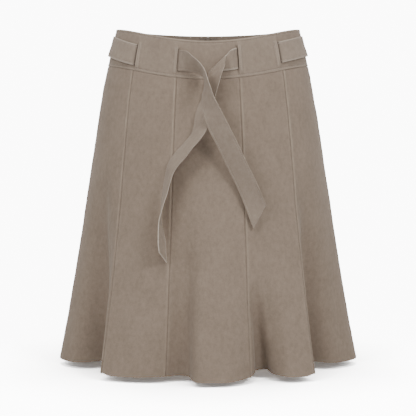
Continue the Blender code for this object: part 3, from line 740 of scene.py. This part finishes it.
def makeWaistbandFront():
    angles = frontAngles()
    columns = [int(np.searchsorted(angles, slit)) - 1 for slit in slits]
    firstCut = len(band["topRows"]) + 2
    holes = [(r, c) for r in range(firstCut, firstCut + band["slitRows"] - 1) for c in columns]
    levels = frontLevels(angles)
    angles = np.repeat(angles[None, :], len(levels), axis=0)
    points, normals, around = skinFrame(angles, levels)
    toEdge = toNearer(runLength(points, 1))
    covered, middle, half = isCovered(angles), sashLevel(angles), band["slitLength"] / 2
    slitAway = np.min([np.abs(angles - s) / degreesPerMetre[s] for s in slits], axis=0)
    beside = np.abs(levels - middle) < half + 0.003
    lip = np.exp(-((slitAway - band["slitGap"] / 2) / 0.0007)) * beside
    stitches = sum(bell(slitAway - away, band["groove"][1]) for away in band["slitStitch"])
    soft = 0.0005 * unevenness(points, 0.045, 5.0) * smoothStep(toEdge / 0.02) * (1 - slitFade(angles))
    rise = bandOut(angles, levels) + bandRelief(levels, toEdge)
    rise = rise - band["slitGroove"] * stitches * beside * covered
    rise = rise - band["lip"] * lip + np.clip(soft, -0.0002, 0.0006)
    upright = np.clip(1 - ((levels - middle) / half) ** 2, 0, 1)
    height, width = band["pushed"]
    rise = rise + height * upright * bell(slitAway, width) * covered
    inside = np.minimum(rise, bandOut(angles, levels) + 0.0008) - band["wall"]
    shifted = splitEdges(points, around, goreCut["edgeGap"])
    rubbedAndHighlight, pressedAndShade = bandMarks(levels, toEdge)
    # painted highlight on the ridges beside and between the rows of stitching at each covering slit edge
    paintedRidgeHighlight = bell(slitAway - 0.0018, 0.0010) + 0.7 * bell(slitAway - 0.0050, 0.0012)
    rubbedAndHighlight = rubbedAndHighlight + 0.55 * paintedRidgeHighlight * beside * covered
    # painted shade: the slit's lips and the groove under the lower row of stitching are darkened
    pressedAndShade = pressedAndShade + 0.5 * lip
    pressedAndShade = pressedAndShade + 0.10 * bell(form["bandHeight"] - levels - band["stitchIn"], 0.0006)
    marks = {"rubbedAndHighlight": np.clip(rubbedAndHighlight, 0, 1), "pressedAndShade": np.clip(pressedAndShade, 0, 1)}
    outer, inner = shifted + normals * rise[..., None], shifted + normals * inside[..., None]
    piece = shell("waistbandFrontCloth", outer, inner, marks, holes, "waistband")
    dress(piece, "waistband", "waistband_front", flat=(0.458, 0.060), area=0.0268, held="hung")


def makeWaistbandBack(name, low, high):
    ends = np.array(band["ends"])
    angles = np.concatenate([low + ends, np.linspace(low + 2.0, high - 2.0, 60), high - ends[::-1]])
    height = form["bandHeight"]
    levels = [*band["topRows"], 0.0078, 0.009, *np.linspace(0.012, height - 0.0075, 10)]
    levels += [height - v for v in band["lowRows"]]
    angles = np.repeat(angles[None, :], len(levels), axis=0)
    levels = np.repeat(np.array(levels)[:, None], angles.shape[1], axis=1)
    points, normals, around = skinFrame(angles, levels)
    toEdge = toNearer(runLength(points, 1))
    rise = bandRelief(levels, toEdge)
    # the two back edges part only round the neck of the slider
    parted = band["zipPart"] * smoothStep((levels - 0.0015) / 0.0015) * fallAway(levels, 0.0066, 0.0018)
    parted = parted + goreCut["edgeGap"]
    startsAtBack = low == -180.0
    sign = 1.0 if startsAtBack else -1.0
    shift = np.zeros(angles.shape)
    for k in range(4):
        column = k if startsAtBack else -1 - k
        shift[:, column] = sign * parted[:, column] * (1 - k / 4)
    shift[:, -1 if startsAtBack else 0] = -sign * goreCut["edgeGap"]
    shifted = points + around * shift[..., None]
    rubbedAndHighlight, pressedAndShade = bandMarks(levels, toEdge)
    marks = {"rubbedAndHighlight": np.clip(rubbedAndHighlight, 0, 1), "pressedAndShade": pressedAndShade}
    outer, inner = shifted + normals * rise[..., None], shifted - normals * band["wall"]
    piece = shell(name.replace("_", "") + "Cloth", outer, inner, marks, (), "waistband")
    dress(piece, "waistband", name, flat=(0.227, 0.060), area=0.0132, held="hung")


def sashAcross():
    near = np.array(sash["acrossRows"]) - sash["width"] / 2
    return np.concatenate([near, [0.0], -near[::-1]])


def sashRelief(across, along, endCut):
    # half the thickness over the width: puffed edges, a groove under the stitching, rounded rims
    (groove, grooveWidth), (rim, rimWidth) = sash["groove"], sash["rim"]
    toEdge = np.broadcast_to(sash["width"] / 2 - np.abs(across), along.shape)
    toEnd = along[-1:] - along
    half = sash["wall"] / 2 - groove * bell(toEdge - sash["stitchIn"], grooveWidth)
    half = half - rim * fallAway(toEdge, 0.0, rimWidth) + 0.00012 * bell(toEdge - 0.0015, 0.0009)
    # paler along the rims and the cut end: partly wear, partly painted highlight
    rubbedAndHighlight = bell(toEdge, 0.0016)
    if endCut:
        half = half - groove * bell(toEnd - sash["stitchIn"], grooveWidth)
        half = half - rim * fallAway(toEnd, 0.0, rimWidth)
        rubbedAndHighlight = np.maximum(rubbedAndHighlight, 0.85 * bell(toEnd, 0.0015))
    return half, rubbedAndHighlight


def hiddenGrid(angles, across):
    angles = np.repeat(np.array(angles)[:, None], len(across), axis=1)
    levels = sashLevel(angles) + across[None, :]
    points, normals, _ = skinFrame(angles, levels)
    return points + normals * sashOut(angles)[..., None], normals


def sashWall(points, normals, half, sway):
    return points + normals * (half + sway)[..., None], points - normals * (half - sway)[..., None]


def makeSashRound():
    across = sashAcross()
    join = sash["join"] + sash["joinGap"]
    close = nearSlit(band["sideSlit"], sash["besideSlit"])
    angles = np.concatenate([
        [join, join + 0.3, join + 1.2], np.linspace(join + 3, close.min() - 1, 5), close,
        np.linspace(close.max() + 1.5, 178.5, 84),
    ])
    angles = np.concatenate([angles, [180.0], -angles[::-1]])
    points, normals = hiddenGrid(angles, across)
    along = runLength(points, 0)
    half, rubbedAndHighlight = sashRelief(across, along, False)
    # outside the band it lies loosely, its lower edge standing off
    loose = (~isCovered(angles))[:, None]
    sway = 0.0004 * (1 + unevenness(points, 0.05, 9.0)) * loose
    sway = sway + 0.0016 * smoothStep((across[None, :] + 0.004) / 0.020) * loose
    sway *= (1 - slitFade(angles))[:, None] ** 0.5
    outer, inner = sashWall(points, normals, half, sway)
    # painted shadow on the sash beside each slit, and its paler rims, partly painted highlight, kept
    # under half strength
    slitShade = np.repeat(slitShadow(angles)[:, None], len(across), axis=1)
    marks = {"rubbedAndHighlight": 0.45 * rubbedAndHighlight[:, ::-1], "pressedAndShade": slitShade[:, ::-1]}
    piece = shell("sashRoundCloth", outer[:, ::-1], inner[:, ::-1], marks, (), "sash")
    dress(piece, "sash", "sash_round", flat=(0.767, 0.033), held="stretched",
          rests_on=["waistband_front", "waistband_back_left", "waistband_back_right"])
    print("sash_round length", round(float(along[-1].mean()), 4))
    shown = np.abs(angles) > band["sideSlit"] + 0.3
    return outer[shown], normals[shown], across


# the free ends in mm: upper edge x and z, lower edge x and z, how far the lower edge stands off
leftEnd = np.array((
    (-33.5, -37.5, -33.0, -69.0, 2.0),
    (-24.5, -45.5, -22.0, -70.5, 3.5),
    (-16.0, -53.0, -13.0, -72.5, 6.0),
    (-9.5, -60.0, -7.5, -76.5, 9.4),
    (-5.0, -67.5, -5.4, -82.5, 15.0),
    (-0.3, -82.4, -6.2, -95.4, 22.0),
    (4.3, -94.1, -9.0, -106.9, 26.0),
    (9.0, -106.4, -10.3, -119.2, 28.5),
    (16.0, -121.2, -7.2, -135.3, 32.0),
    (23.9, -136.1, -2.3, -150.6, 33.0),
    (31.7, -151.0, 4.2, -165.3, 30.0),
    (39.6, -166.6, 12.3, -180.7, 25.0),
    (50.5, -189.3, 22.4, -202.3, 19.2),
    (61.9, -213.3, 34.0, -226.3, 13.6),
    (75.7, -240.9, 47.2, -253.4, 9.4),
    (90.4, -275.2, 70.5, -313.1, 6.0),
)) / 1000
rightEnd = np.array((
    (37.5, -34.5, 33.5, -67.2, 2.0),
    (32.5, -38.5, 18.0, -68.2, 2.0),
    (28.5, -44.0, 3.0, -69.7, 2.5),
    (26.5, -45.5, 0.0, -71.2, 5.5),
    (27.5, -49.0, 0.0, -74.5, 8.5),
    (26.4, -56.0, -2.0, -79.0, 8.5),
    (21.6, -71.1, -3.5, -85.0, 7.0),
    (16.1, -89.8, -5.4, -96.0, 5.0),
    (12.0, -103.9, -9.0, -108.6, 4.0),
    (8.0, -119.0, -16.5, -125.0, 3.0),
    (3.0, -137.0, -20.5, -139.0, 3.8),
    (-1.5, -155.7, -21.7, -150.3, 6.0),
    (-12.7, -174.0, -25.3, -163.9, 6.5),
    (-25.3, -187.9, -37.2, -178.9, 6.5),
    (-35.6, -201.9, -49.7, -192.8, 6.5),
    (-46.9, -214.6, -59.8, -206.8, 6.5),
    (-53.4, -224.8, -64.4, -218.4, 6.5),
    (-57.8, -237.3, -67.4, -235.5, 6.5),
    (-62.2, -255.0, -70.6, -255.6, 6.5),
    (-67.2, -268.8, -72.2, -271.0, 6.0),
    (-71.6, -282.6, -72.9, -284.9, 5.2),
    (-76.0, -300.2, -72.1, -303.3, 4.2),
    (-76.6, -315.4, -69.0, -318.6, 3.3),
    (-76.6, -330.4, -65.8, -334.0, 3.0),
    (-74.9, -346.0, -64.2, -364.7, 3.0),
)) / 1000


def frontDepth(x, z):
    # where the skirt's front lies straight behind x and z
    angle, level = math.degrees(math.asin(x / 0.2)), -z - 0.02
    for _ in range(20):
        turns = np.array([[angle], [angle + 0.05], [angle]])
        at = skin(turns, np.array([[level], [level], [level + 0.0005]]))[:, 0]
        miss = np.array([x, z]) - at[0, [0, 2]]
        if np.abs(miss).max() < 1e-7:
            break
        turned, lowered = (at[1] - at[0]) / 0.05, (at[2] - at[0]) / 0.0005
        move = np.linalg.solve(np.array([turned[[0, 2]], lowered[[0, 2]]]).T, miss)
        angle, level = angle + move[0], min(max(level + move[1], 0.0), form["sideLength"])
    return at[0, 1]


def freeEdges(table, upperStart, lowerStart):
    # the two long edges in space, as far apart everywhere as the sash is wide
    uppers, lowers = [upperStart], [lowerStart]
    for upperX, upperZ, lowerX, lowerZ, lowerOut in table:
        lowerY = frontDepth(lowerX, lowerZ) - lowerOut
        spare = sash["width"] ** 2 - (upperX - lowerX) ** 2 - (upperZ - lowerZ) ** 2
        uppers.append([upperX, lowerY - math.sqrt(max(spare, 0.0)), upperZ])
        lowers.append([lowerX, lowerY, lowerZ])
    uppers, lowers = np.array(uppers), np.array(lowers)
    gone = runLength((uppers + lowers) / 2, 0)
    at = np.linspace(0.0, gone[-1], round(float(gone[-1]) / sash["step"]) + 1)
    at = np.sort(np.concatenate([at, gone[-1] - np.array(sash["endRows"])]))
    return [
        np.stack([monotone(gone, edge[:, k], at) for k in range(3)], axis=1) for edge in (uppers, lowers)
    ]


def makeSashEnd(name, node, table, slit, flat):
    side = math.copysign(1.0, slit)
    across = sashAcross()
    perMetre = degreesPerMetre[slit]
    join = sash["join"] - sash["joinGap"]
    hidden = [side * angle for angle in (join, join - 0.3, join - 1.2, 28.0, 26.0)]
    hidden += [slit + side * d * perMetre for d in reversed(sash["besideSlit"])]
    gridHidden, _ = hiddenGrid(hidden, across)
    justOut = slit - side * sash["besideSlit"][0] * perMetre
    atSlit, _ = hiddenGrid([justOut], across)
    upper, lower = freeEdges(table, atSlit[0, 0], atSlit[0, -1])
    share = (across / sash["width"] + 0.5)[None, :, None]
    points = np.concatenate([gridHidden, upper[:, None] * (1 - share) + lower[:, None] * share])
    normals = gridNormals(points)
    along = runLength(points, 0)
    half, rubbedAndHighlight = sashRelief(across, along, True)
    loose = smoothStep((np.arange(len(points)) - len(hidden) - 6) / 12.0)[:, None]
    sway = 0.0006 * unevenness(points, 0.030, 13.0) * loose
    outer, inner = sashWall(points, normals, half, sway)
    start = len(hidden) + 1
    # painted shadow where the end passes the slit; the pale rims, partly painted highlight, grow
    # brighter where the end hangs free
    slitShade = np.zeros(rubbedAndHighlight.shape)
    slitShade[:start] = slitShadow(np.array(hidden + [justOut]))[:, None]
    marks = {"rubbedAndHighlight": rubbedAndHighlight * (0.6 + 0.4 * loose) * (1 - slitShade), "pressedAndShade": slitShade}
    piece = shell(name, outer, inner, marks, (), "sash")
    dress(piece, "sash", node, flat=flat, held="hung", rests_on=["waistband_front"])
    print(node, "length", round(float(along[-1].max()), 4))
    return outer[start:], inner[start:], normals[start:]


makeWaistbandFront()
makeWaistbandBack("waistband_back_left", -180.0, -91.0)
makeWaistbandBack("waistband_back_right", 90.0, 180.0)
roundOuter, roundNormals, acrossSteps = makeSashRound()
leftGrids = makeSashEnd("sashLeftCloth", "sash_left", leftEnd, -band["frontSlit"], (0.033, 0.352))
rightGrids = makeSashEnd("sashRightCloth", "sash_right", rightEnd, band["frontSlit"], (0.033, 0.409))
print("waistband and sash done")

stitch = {
    "pitch": 0.0034,
    "length": 0.0026,
    "width": 0.00055,
    "height": 0.00040,
    "proud": 0.00008,
    "sunk": 0.00035,  # the bottom of a groove, under the surface
}


def modelStitch():
    # one stitch along X, a flattened bead with a few faces
    bpy.ops.object.select_all(action="DESELECT")
    bpy.ops.mesh.primitive_uv_sphere_add(segments=6, ring_count=5, radius=0.5)
    bead = bpy.context.object
    bpy.ops.object.mode_set(mode="EDIT")
    bpy.ops.mesh.select_all(action="SELECT")
    bpy.ops.transform.rotate(value=math.radians(90), orient_axis="Y", center_override=(0, 0, 0))
    bpy.ops.transform.resize(value=(stitch["length"], stitch["width"], stitch["height"]))
    bpy.ops.object.mode_set(mode="OBJECT")
    points = np.array([v.co[:] for v in bead.data.vertices])
    faces = [tuple(f.vertices) for f in bead.data.polygons]
    bpy.data.objects.remove(bead)
    return points, faces


beadPoints, beadFaces = modelStitch()


def addThread(name, points, faces):
    mesh = bpy.data.meshes.new(name)
    mesh.from_pydata(points, [], faces)
    mesh.shade_smooth()
    mesh.materials.append(looks["thread"])
    made = addObject(name, mesh)
    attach(made, "skirt")
    return mesh


def sewLines(name, lines):
    # each line is a list of surface points and their normals
    verts, faces = [], []
    for points, normals in lines:
        run = runLength(points, 0)
        count = int(run[-1] // stitch["pitch"])
        for k in range(count):
            middle = (k + 0.5) * run[-1] / count
            here, back, ahead, up = (
                np.array([np.interp(middle + off, run, source[:, axis]) for axis in range(3)])
                for off, source in ((0.0, points), (-0.001, points), (0.001, points), (0.0, normals))
            )
            forward = (ahead - back) / np.linalg.norm(ahead - back)
            up = up - forward * (up @ forward)
            up /= np.linalg.norm(up)
            turn = np.stack([forward, np.cross(up, forward), up])
            placed = beadPoints @ turn + here + up * stitch["proud"]
            faces += [tuple(i + len(verts) for i in face) for face in beadFaces]
            verts += placed.tolist()
    addThread(name, verts, faces)
    print(name, len(faces), "faces")


def bandLine(angles, levels, sink):
    angles, levels = np.atleast_2d(angles), np.atleast_2d(levels)
    points, normals, _ = skinFrame(angles, levels)
    lifted = points + normals * (bandOut(angles, levels) - sink)[..., None]
    return lifted[0], normals[0]


def sewWaistband():
    height = form["bandHeight"]
    lines = []
    for low, high in ((-90.6, 89.6), (90.5, 179.0), (-179.0, -91.4)):
        angles = np.linspace(low, high, 240)
        for level in (band["stitchIn"], height - band["stitchIn"]):
            lines.append(bandLine(angles, np.full(240, level), stitch["sunk"]))
    sewLines("stitchesWaistband", lines)
    lines = []
    for slit in slits:
        side = math.copysign(1.0, slit)
        covering = side if abs(slit) == band["frontSlit"] else -side
        middle = float(sashLevel(np.array([slit]))[0])
        levels = np.linspace(middle - band["slitStitchHalf"], middle + band["slitStitchHalf"], 60)
        for away in band["slitStitch"]:
            at = slit + covering * away * degreesPerMetre[slit]
            lines.append(bandLine(np.full(60, at), levels, 0.0003))
    sewLines("stitchesSlits", lines)


def sewSash():
    half = sash["width"] / 2 - sash["stitchIn"]
    near, far = (int(np.argmin(np.abs(acrossSteps - place))) for place in (-half, half))
    lines = [(roundOuter[:, c], roundNormals[:, c]) for c in (near, far)]
    acrossEnd = (-5, slice(near, far + 1))
    for outer, inner, normals in (leftGrids, rightGrids):
        for c in (near, far):
            lines.append((outer[:-2, c], normals[:-2, c]))
            lines.append((inner[:-2, c], -normals[:-2, c]))
        lines.append((outer[acrossEnd], normals[acrossEnd]))
        lines.append((inner[acrossEnd], -normals[acrossEnd]))
    sewLines("stitchesSash", lines)


sewWaistband()
sewSash()
print("stitching done")

zipper = {
    "edge": 174.33,  # the tape's outer edge, in degrees
    "wall": 0.0008,
    "top": 0.0030,
    "length": 0.1803,
    "behind": 0.0003,  # clearance behind the band
    "coilTop": 0.012,
    "coilRadius": 0.0008,
    "coilAside": 0.0009,
    "thread": 0.00028,
    "pitch": 0.0013,
}


def makeZipTape(name, node, side):
    levels = np.linspace(zipper["top"], zipper["length"], 90)
    share = np.linspace(0.0, 1.0, 9)
    opened = 0.0002 + 0.0012 * fallAway(levels, 0.0078, 0.0012)
    start = 180.0 - opened * degreesFor(1.0, 180.0)
    angles = start[:, None] * (1 - share) + zipper["edge"] * share
    levels = np.repeat(levels[:, None], len(share), axis=1)
    points, normals, _ = skinFrame(side * angles, levels)
    depth = band["wall"] + zipper["behind"]
    outer = points - normals * depth
    inner = points - normals * (depth + zipper["wall"])
    order = slice(None, None, -1) if side > 0 else slice(None)
    piece = shell(name, outer[:, order], inner[:, order], None, (), "tape")
    dress(piece, "zip_tape", node, flat=(0.018, 0.179), area=0.0030, held="stretched")


def makeCoil(name, side):
    # a spiral of nylon thread along the edge of a tape
    turns = int((zipper["length"] - zipper["coilTop"]) / zipper["pitch"])
    t = np.linspace(0.0, turns * 2 * math.pi, turns * 10)
    levels = zipper["coilTop"] + t / (2 * math.pi) * zipper["pitch"]
    atBack = np.full((len(t), 1), 180.0)
    points, normals, around = (v[:, 0] for v in skinFrame(atBack, levels[:, None]))
    depth = band["wall"] + zipper["behind"] + zipper["wall"] + zipper["coilRadius"] + 0.0004
    centre = points - normals * depth + around * (-side * zipper["coilAside"])
    ring = centre + normals * (0.5 * zipper["coilRadius"] * np.cos(t))[:, None]
    ring = ring + around * (zipper["coilRadius"] * np.sin(t))[:, None]
    forward = np.gradient(ring, axis=0)
    forward /= np.linalg.norm(forward, axis=1, keepdims=True)
    out = np.cross(forward, np.cross(np.tile([0.0, 0.0, 1.0], (len(t), 1)), forward))
    out /= np.linalg.norm(out, axis=1, keepdims=True)
    over = np.cross(forward, out)
    turned = np.radians([0, 72, 144, 216, 288])
    corners = [ring + zipper["thread"] * (math.cos(a) * out + math.sin(a) * over) for a in turned]
    grid = np.stack(corners, axis=1)
    index = np.arange(grid.shape[0] * 5).reshape(-1, 5)
    nextUp = np.roll(index, -1, axis=1)
    faces = np.stack([index[:-1], nextUp[:-1], nextUp[1:], index[1:]], -1).reshape(-1, 4).tolist()
    faces += [index[0][::-1].tolist(), index[-1].tolist()]
    mesh = addThread(name, grid.reshape(-1, 3).tolist(), faces)
    bm = bmesh.new()
    bm.from_mesh(mesh)
    bmesh.ops.recalc_face_normals(bm, faces=bm.faces)
    bm.to_mesh(mesh)
    bm.free()


for side, word in ((-1.0, "left"), (1.0, "right")):
    makeZipTape("zipTape" + word.capitalize(), "zip_tape_" + word, side)
    makeCoil("zipCoil" + word.capitalize(), side)
for node in ("zip_slider", "zip_pull"):
    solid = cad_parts[node]
    solid.data.materials.clear()
    solid.data.materials.append(looks["metal"])
print("zip done")

studio = {
    "floor": -0.5515,
    "world": 0.49,
    "shownWhite": 10.5,  # how bright the room looks behind the skirt, without lighting it
    "paperGain": 10.5,  # the same for the paper under it, shadow and all
    "shadowReach": (0.30, 0.75),  # the paper turns into the plain room between these distances
    "underneath": 0.20,  # how far the darkness under the hem reaches
    "aim": (0.0, 0.0, -0.25),
}
# name, place, size, power
lights = (
    ("sideRight", (2.9, -1.3, 0.6), 1.3, 9.0),
    ("sideLeft", (-2.9, -1.3, 0.6), 1.3, 9.0),
    ("frontRight", (1.7, -2.4, 1.6), 0.9, 41.0),
    ("frontLeft", (-1.7, -2.4, 1.6), 0.9, 32.0),
    ("top", (0.0, -1.2, 2.4), 0.9, 24.0),
    ("behindRight", (1.8, 2.6, 0.9), 1.4, 24.0),
    ("behindLeft", (-1.8, 2.6, 0.9), 1.4, 24.0),
)


def makeFloor():
    bpy.ops.object.select_all(action="DESELECT")
    bpy.ops.mesh.primitive_plane_add(size=12.0, location=(0, 0, studio["floor"]))
    floor = bpy.context.object
    floor.name = "floor"
    made, tree, place = newMaterial("matPaper")  # seamless studio paper, matt and almost white
    tone = mixColours(tree, addNoise(tree, place, 1 / 60), toLinear("#fbfbfb"), toLinear("#ffffff"))
    away = addNode(tree, "ShaderNodeVectorMath", {"operation": "LENGTH"}, {0: place})
    room = mapRange(tree, away.outputs["Value"], (*studio["shadowReach"], 0.0, 1.0), "SMOOTHSTEP")
    # painted shadow: an occlusion node darkens the paper's colour close under the skirt
    reach = {"samples": 8, "Distance": studio["underneath"]}
    paintedShadow = addNode(tree, "ShaderNodeAmbientOcclusion", reach, {"Color": tone})
    gain = {"operation": "SCALE", "Scale": studio["paperGain"]}
    bright = addNode(tree, "ShaderNodeVectorMath", gain, {0: paintedShadow.outputs["Color"]})
    lit = addNode(tree, "ShaderNodeBsdfDiffuse", {}, {"Color": bright.outputs[0]})
    even = addNode(tree, "ShaderNodeEmission", {"Strength": studio["shownWhite"]})
    mixed = {0: room, 1: lit.outputs[0], 2: even.outputs[0]}
    shown = addNode(tree, "ShaderNodeMixShader", {}, mixed)
    plain = addNode(tree, "ShaderNodeBsdfDiffuse", {"Color": (0.6, 0.6, 0.6, 1.0)})
    seen = addNode(tree, "ShaderNodeLightPath").outputs["Is Camera Ray"]
    coverWith(tree, "ShaderNodeMixShader", {}, {0: seen, 1: plain.outputs[0], 2: shown.outputs[0]})
    floor.data.materials.append(made)


def addLight(name, place, size, power):
    lamp = bpy.data.lights.new(name, "AREA")
    lamp.shape = "SQUARE"
    lamp.size = size
    lamp.energy = power
    made = addObject(name, lamp)
    made.location = place
    towards = Vector(studio["aim"]) - Vector(place)
    made.rotation_euler = towards.to_track_quat("-Z", "Y").to_euler()


def makeStudio():
    world = bpy.data.worlds.new("paleRoom")
    bpy.context.scene.world = world
    world.use_nodes = True
    tree = world.node_tree
    seen = addNode(tree, "ShaderNodeLightPath").outputs["Is Camera Ray"]
    gain = mapRange(tree, seen, (0.0, 1.0, studio["world"], studio["shownWhite"]))
    tree.nodes["Background"].inputs[0].default_value = (1.0, 1.0, 1.0, 1.0)
    tree.links.new(gain, tree.nodes["Background"].inputs[1])
    for row in lights:
        addLight(*row)


def makeCamera():
    # a long lens at waist height, 2.5 m in front, tipped a little down
    camera = bpy.data.cameras.new("camera")
    camera.lens = 131.6
    camera.sensor_width = 36.0
    made = addObject("camera", camera)
    made.location = (0.0, -2.5, -0.090)
    made.rotation_euler = (math.radians(90.0) - math.atan2(0.2022, 2.5), 0.0, 0.0)
    bpy.context.scene.camera = made


makeFloor()
makeStudio()
makeCamera()
